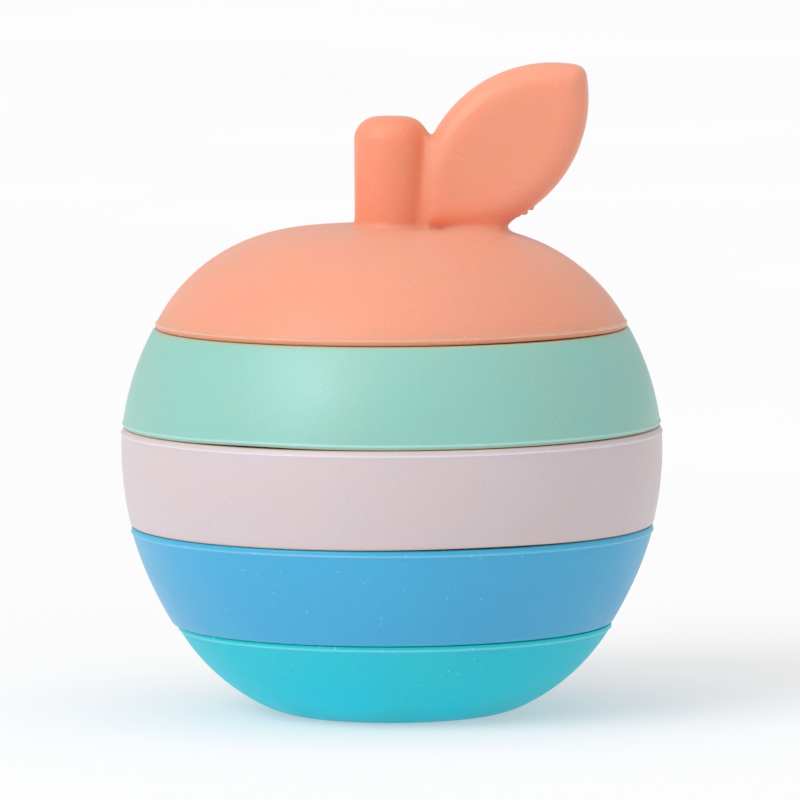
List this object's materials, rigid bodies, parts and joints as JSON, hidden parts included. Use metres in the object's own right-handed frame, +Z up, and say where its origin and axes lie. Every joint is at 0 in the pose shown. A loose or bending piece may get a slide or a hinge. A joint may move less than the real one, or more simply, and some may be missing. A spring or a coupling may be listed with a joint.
{
  "type": "stacking toy",
  "caption": "Soft silicone stacking toy in the shape of an apple: a bowl, three open rings that lift off round collars, and a domed lid with stem and leaf.",
  "frame": {"origin": "on the stack's vertical axis at the underside of the base's flat foot", "axes": "+Z up along the stack's axis; the leaf leans towards +X; the front is -Y"},
  "size_m": [0.095, 0.095, 0.1141],
  "materials": {
    "turquoise_silicone": "matte",
    "blue_silicone": "matte",
    "pink_silicone": "matte",
    "mint_silicone": "matte",
    "coral_silicone": "matte"
  },
  "bodies": {
    "base": {"base_bowl": "turquoise_silicone"},
    "blue": {"blue_ring": "blue_silicone"},
    "pink": {"pink_ring": "pink_silicone"},
    "mint": {"mint_ring": "mint_silicone"},
    "lid": {"apple_lid": "coral_silicone"}
  },
  "joints": [
    {"name": "blue_lift", "type": "slide", "parent": "base", "child": "blue", "axis": [0, 0, 1], "range_m": [0, 0.03]},
    {"name": "pink_lift", "type": "slide", "parent": "blue", "child": "pink", "axis": [0, 0, 1], "range_m": [0, 0.03]},
    {"name": "mint_lift", "type": "slide", "parent": "pink", "child": "mint", "axis": [0, 0, 1], "range_m": [0, 0.03]},
    {"name": "lid_lift", "type": "slide", "parent": "mint", "child": "lid", "axis": [0, 0, 1], "range_m": [0, 0.03]}
  ]
}
